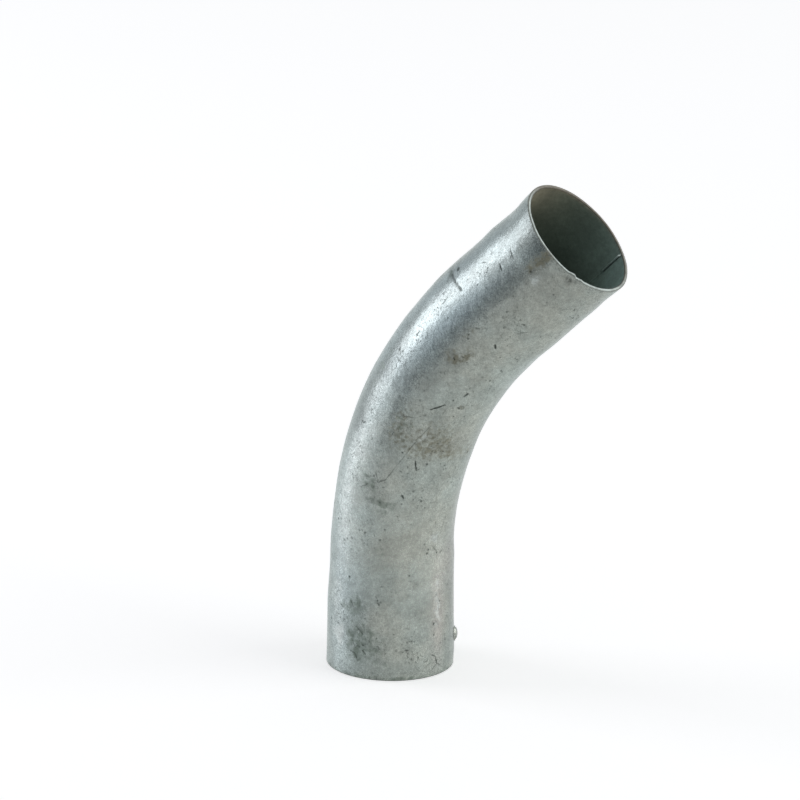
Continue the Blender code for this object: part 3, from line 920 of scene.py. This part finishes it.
def galvanised_outside(groups):
    """Dipped zinc: cool and warm greys, mottled, with warm blooms, a painted blue reflection, painted light
    and shade, stains, pale patches with painted highlight, smudges with painted shade, pits and scratches.
    """
    material, tree, surface, place, wrap = new_metal("galvanised_outside")
    tint = ramp(tree, noise(tree, place, TINT_SIZE, 4.0, 0.6), *TINT_RANGE)
    colour = blend(tree, tint, ZINC_COOL, ZINC_WARM)
    # Painted blue reflection beside the lit band
    colour = blend(tree, attribute(tree, "painted_blue_reflection"), colour, ZINC_BLUE_REFLECTION)
    colour = blend(tree, attribute(tree, "warm_bloom"), colour, ZINC_BEIGE)
    # Painted light and shade, with the coat's slow changes of lightness, as a shade on the colour
    colour = shaded_by(tree, colour, calc(tree, "ADD", attribute(tree, "coat_tone_and_painted_light"), 1.0))
    masks = {}
    # Ragged patches: stains, pale patches with painted highlight, and smudges with painted shade
    for name, (tone, share, size, broken, _) in PATCH_LOOKS.items():
        inputs = {"Patch": attribute(tree, name), "Vector": place, "Size": size, "Break": broken}
        masks[name] = place_group(tree, groups["ragged"], inputs)["Mask"]
        colour = blend(tree, calc(tree, "MULTIPLY", masks[name], share), colour, tone)
    colour = mottled(tree, groups["mottle"], colour, place, ZINC_MOTTLES)
    dark = dark_marks(tree, groups, place, wrap)
    tree.links.new(blend(tree, dark, colour, MARK_DARK), surface["Base Color"])
    grain = place_group(tree, groups["grain"], {"Vector": place, "Size": GRAIN_SIZE, "Height": GRAIN_HEIGHT})
    smooth = ZINC_ROUGHNESS - FLECK_ROUGHNESS / 2
    rough = calc(tree, "MULTIPLY_ADD", grain["Fleck"], FLECK_ROUGHNESS, smooth)
    for name, mask in masks.items():
        rough = calc(tree, "MULTIPLY_ADD", mask, PATCH_LOOKS[name][-1], rough)
    tree.links.new(calc(tree, "MULTIPLY_ADD", dark, MARK_ROUGHNESS, rough), surface["Roughness"])
    stained = (1.0 - DULL_SHARE) * ZINC_METALLIC
    metallic = between(tree, masks["brown_stain"], ZINC_METALLIC, stained)
    tree.links.new(between(tree, dark, metallic, 1.0), surface["Metallic"])
    surface["Specular Tint"].default_value = EDGE_TINT
    tree.links.new(bumped(tree, dipped_relief(tree, grain["Relief"], place, wrap)), surface["Normal"])
    return material


def dark_marks(tree, groups, place, wrap):
    """The darkest at each point of the marks, round specks, fine specks, pinholes and hairlines."""
    wander = noise(tree, place, WANDER_SIZE, 3.0, 0.5, "Color")
    off_middle = vector_of(tree, "SUBTRACT", wander, (0.5, 0.5, 0.5))
    shift = vector_of(tree, "MULTIPLY", off_middle, (WANDER_REACH, WANDER_REACH, WANDER_REACH))
    marks = all_marks(tree, groups["mark"], vector_of(tree, "ADD", wrap, shift))
    dark = calc(tree, "MAXIMUM", marks, all_specks(tree, groups["speck"], wrap))
    crowd = ramp(tree, noise(tree, place, CROWD_SIZE, 2.0, 0.5), *CROWD_RANGE)
    crowding = calc(tree, "ADD", attribute(tree, "speck_crowd"), crowd)
    inputs = {"Vector": place, "Size": FINE_SPECK_SIZE, "Crowd": crowding}
    fine = place_group(tree, groups["fine_specks"], inputs)["Mask"]
    dark = calc(tree, "MAXIMUM", dark, calc(tree, "MULTIPLY", fine, FINE_SPECK_DARK))
    for spacing, radius, few, more, strength in PINHOLES:
        share = calc(tree, "MULTIPLY_ADD", crowd, more, few)
        inputs = {"Vector": place, "Spacing": spacing, "Radius": radius, "Share": share}
        pits = place_group(tree, groups["pinholes"], inputs)["Mask"]
        dark = calc(tree, "MAXIMUM", dark, calc(tree, "MULTIPLY", pits, strength))
    return calc(tree, "MAXIMUM", dark, hairlines(tree, place))


def hairlines(tree, place):
    """Faint wandering scratches in some places: where cloudy noise crosses its middle value."""
    off_middle = calc(tree, "SUBTRACT", noise(tree, place, HAIRLINE_SIZE, 2.0, 0.55), 0.5)
    line = ramp(tree, calc(tree, "ABSOLUTE", off_middle), *HAIRLINE_FADE)
    somewhere = ramp(tree, noise(tree, place, HAIRLINE_PLACES_SIZE, 2.0, 0.5), *HAIRLINE_PLACES)
    return calc(tree, "MULTIPLY", calc(tree, "MULTIPLY", line, somewhere), HAIRLINE_DARK)


def dipped_relief(tree, grain, place, wrap):
    """Fine relief of dipped zinc: grain, shallow dimples, and short ridges that run round the tube."""
    dimples = calc(tree, "MULTIPLY", noise(tree, place, DIMPLE_SIZE, 2.0, 0.5), DIMPLE_HEIGHT)
    stretched = vector_of(tree, "MULTIPLY", wrap, RIDGE_STRETCH)
    ridges = calc(tree, "MULTIPLY", noise(tree, stretched, RIDGE_SIZE, 2.0, 0.5), RIDGE_HEIGHT)
    return calc(tree, "ADD", calc(tree, "ADD", dimples, ridges), grain)


def galvanised_lip(groups):
    """Cut ends: bright along the middle, dark towards both edges, and brown on the far side."""
    material, tree, surface, place, _ = new_metal("galvanised_lip")
    brown = attribute(tree, "brown_stain")
    depth = attribute(tree, "wall_depth")
    middle = blend(tree, ramp(tree, depth, *LIP_BRIGHT_BAND), LIP_OUTER, LIP_BRIGHT)
    middle = blend(tree, brown, middle, LIP_BROWN)
    inner = blend(tree, brown, LIP_INNER, LIP_BROWN_INNER)
    colour = blend(tree, ramp(tree, depth, *LIP_TURNED_IN), middle, inner)
    tree.links.new(mottled(tree, groups["mottle"], colour, place, LIP_MOTTLES), surface["Base Color"])
    surface["Roughness"].default_value = LIP_ROUGHNESS
    surface["Metallic"].default_value = LIP_METALLIC
    grain = place_group(tree, groups["grain"], {"Vector": place, "Size": GRAIN_SIZE, "Height": GRAIN_HEIGHT})
    tree.links.new(bumped(tree, grain["Relief"]), surface["Normal"])
    return material


def bore_with_painted_light_and_shade(groups):
    """Bore: dull dark zinc that also stands as painted shade, lighter brown on the back and teal on the
    throat's side near the mouth as painted light, with the weld bead's painted shadow and highlight.
    """
    material, tree, surface, place, _ = new_metal("bore_with_painted_light_and_shade")
    colour = blend(tree, attribute(tree, "bore_brown_and_painted_light"), BORE_SHADE_DARK, BORE_BROWN_AND_LIGHT)
    colour = blend(tree, attribute(tree, "bore_lit_teal"), colour, BORE_LIT_TEAL)
    colour = mottled(tree, groups["mottle"], colour, place, BORE_MOTTLES)
    # Weld bead's painted shadow and painted highlight
    colour = blend(tree, attribute(tree, "bead_painted_shadow"), colour, BEAD_SHADOW_DARK)
    colour = blend(tree, attribute(tree, "bead_painted_highlight"), colour, BEAD_HIGHLIGHT_PALE)
    tree.links.new(colour, surface["Base Color"])
    surface["Roughness"].default_value = BORE_ROUGHNESS
    surface["Metallic"].default_value = BORE_METALLIC
    inputs = {"Vector": place, "Size": BORE_GRAIN_SIZE, "Height": GRAIN_HEIGHT}
    grain = place_group(tree, groups["grain"], inputs)
    tree.links.new(bumped(tree, grain["Relief"]), surface["Normal"])
    return material


def finish_groups():
    """The effects that the finishes share, by name."""
    return {
        "mottle": mottle_group(),
        "ragged": ragged_group(),
        "pinholes": pinhole_group(),
        "grain": grain_group(),
        "mark": mark_group(),
        "speck": speck_group(),
        "fine_specks": fine_specks_group(),
    }


def place_object(name, data):
    """A new object in the scene."""
    obj = bpy.data.objects.new(name, data)
    bpy.context.scene.collection.objects.link(obj)
    return obj


def build_wall():
    """The tube's wall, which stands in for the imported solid."""
    groups = finish_groups()
    materials = [galvanised_outside(groups), galvanised_lip(groups), bore_with_painted_light_and_shade(groups)]
    wall = place_object("pipe_wall", wall_mesh(materials))
    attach(wall, "root")
    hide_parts("pipe_bend")


def direction(azimuth, elevation):
    """Way out from the tube: azimuth turns from -Y towards +X, elevation lifts it off the level."""
    reach = math.cos(elevation)
    return Vector((math.sin(azimuth) * reach, -math.cos(azimuth) * reach, math.sin(elevation)))


def view_directions():
    """Right, up and back of the camera, turned about its line of sight by the roll."""
    back = direction(CAMERA_AZIMUTH, CAMERA_ELEVATION)
    level = direction(CAMERA_AZIMUTH + math.pi / 2, 0.0)
    steep = back.cross(level)
    right = math.cos(CAMERA_ROLL) * level + math.sin(CAMERA_ROLL) * steep
    up = math.cos(CAMERA_ROLL) * steep - math.sin(CAMERA_ROLL) * level
    return right, up, back


def add_camera():
    """Camera that sees the tube as the photograph does."""
    right, up, back = view_directions()
    data = bpy.data.cameras.new("camera")
    data.lens = CAMERA_LENS
    data.sensor_width = CAMERA_SENSOR
    data.clip_end = CAMERA_REACH
    camera = place_object("camera", data)
    turn = Matrix((right, up, back)).transposed().to_4x4()
    camera.matrix_world = Matrix.Translation(CAMERA_AIM + CAMERA_DISTANCE * back) @ turn
    bpy.context.scene.camera = camera


# Studio: floor, world, card and lamps, with angles in degrees
FLOOR_HALF = 6.0
FLOOR_COLOUR = (0.90, 0.90, 0.90)
FLOOR_SATIN = 0.32
FLOOR_GLOSS = 0.85
FLOOR_LIFT = 0.44
WORLD_SOFT = (0.80, 0.82, 0.84)
WORLD_SOFT_STRENGTH = 0.55
CARD_AZIMUTH = -25.0
CARD_DISTANCE = 0.40
CARD_WIDE = 0.21
CARD_HIGH = 0.40
CARD_COLOUR = (0.19, 0.22, 0.24)
KEY_AZIMUTH = -79.0
KEY_ELEVATION = 12.0
KEY_DISTANCE = 2.0
KEY_WIDE = 1.1
KEY_HIGH = 1.2
KEY_POWER = 13.6
KEY_COLOUR = (1.0, 0.96, 1.0)
FILL_AZIMUTH = 108.0
FILL_ELEVATION = 8.0
FILL_DISTANCE = 2.6
FILL_WIDE = 3.0
FILL_HIGH = 2.0
FILL_POWER = 50.0


def add_sheet(name, corners, material):
    """One flat sheet of the stage."""
    mesh = bpy.data.meshes.new(name)
    mesh.from_pydata(corners, [], [(0, 1, 2, 3)])
    mesh.materials.append(material)
    return place_object(name, mesh)


def add_floor():
    """Flat pale sheet, with a little light of its own where the camera or a reflection sees it."""
    material, tree, surface = new_material("pale_floor")
    surface["Base Color"].default_value = (*FLOOR_COLOUR, 1.0)
    by_camera = add_node(tree, "ShaderNodeLightPath").outputs["Is Camera Ray"]
    tree.links.new(ramp(tree, by_camera, 0.0, 1.0, FLOOR_SATIN, 1.0), surface["Roughness"])
    tree.links.new(ramp(tree, by_camera, 0.0, 1.0, FLOOR_GLOSS, 0.0), surface["Specular IOR Level"])
    surface["Emission Color"].default_value = (*WHITE, 1.0)
    lift = calc(tree, "MULTIPLY", seen_directly(tree), FLOOR_LIFT)
    tree.links.new(lift, surface["Emission Strength"])
    half = FLOOR_HALF
    corners = [(-half, -half, 0), (half, -half, 0), (half, half, 0), (-half, half, 0)]
    floor = add_sheet("floor", corners, material)


def seen_directly(tree):
    """1 where a camera, glossy or transmission ray looks, 0 for the rays that carry soft light."""
    path = add_node(tree, "ShaderNodeLightPath").outputs
    either = calc(tree, "MAXIMUM", path["Is Camera Ray"], path["Is Glossy Ray"])
    return calc(tree, "MAXIMUM", either, path["Is Transmission Ray"])


def add_card():
    """Grey card standing on the floor in front, left of the camera: only reflections see it.

    It gives the darker band that polished tube shows between a lit side and the lit floor.
    """
    azimuth = math.radians(CARD_AZIMUTH)
    sideways = CARD_WIDE / 2 * direction(azimuth + math.pi / 2, 0.0)
    foot = CARD_DISTANCE * direction(azimuth, 0.0)
    top = foot + Vector((0.0, 0.0, CARD_HIGH))
    material, _, surface = new_material("grey_card")
    surface["Base Color"].default_value = (*CARD_COLOUR, 1.0)
    surface["Roughness"].default_value = 1.0
    surface["Specular IOR Level"].default_value = 0.0
    corners = [foot - sideways, foot + sideways, top + sideways, top - sideways]
    card = add_sheet("grey_card", corners, material)
    card.visible_camera = False
    card.visible_diffuse = False
    card.visible_shadow = False


def add_world():
    """White where it is looked at, and a softer, cooler light on the tube."""
    world = bpy.data.worlds.new("studio")
    world.use_nodes = True
    tree = world.node_tree
    tree.nodes.clear()
    glow = {"Color": (*WORLD_SOFT, 1.0), "Strength": WORLD_SOFT_STRENGTH}
    soft = add_node(tree, "ShaderNodeBackground", glow).outputs[0]
    plain = {"Color": (*WHITE, 1.0), "Strength": 1.0}
    white = add_node(tree, "ShaderNodeBackground", plain).outputs[0]
    mixed = add_node(tree, "ShaderNodeMixShader", {0: seen_directly(tree), 1: soft, 2: white})
    add_node(tree, "ShaderNodeOutputWorld", {0: mixed.outputs[0]})
    bpy.context.scene.world = world


def add_softbox(name, azimuth, elevation, distance, wide, high, power, colour=WHITE):
    """Rectangular lamp facing the middle of the tube."""
    towards = direction(math.radians(azimuth), math.radians(elevation))
    data = bpy.data.lights.new(name, "AREA")
    data.shape = "RECTANGLE"
    data.size, data.size_y = wide, high
    data.energy = power
    data.color = colour
    lamp = place_object(name, data)
    lamp.visible_camera = False
    lamp.location = (LOWEST + HIGHEST) / 2 + distance * towards
    lamp.rotation_euler = towards.to_track_quat("Z", "Y").to_euler()


def main():
    """Builds the tube and its studio."""
    build_wall()
    add_camera()
    add_floor()
    add_card()
    add_world()
    key = (KEY_AZIMUTH, KEY_ELEVATION, KEY_DISTANCE, KEY_WIDE, KEY_HIGH, KEY_POWER, KEY_COLOUR)
    fill = (FILL_AZIMUTH, FILL_ELEVATION, FILL_DISTANCE, FILL_WIDE, FILL_HIGH, FILL_POWER)
    add_softbox("key", *key)
    add_softbox("fill", *fill)
    bpy.context.scene.view_settings.view_transform = "Standard"


main()
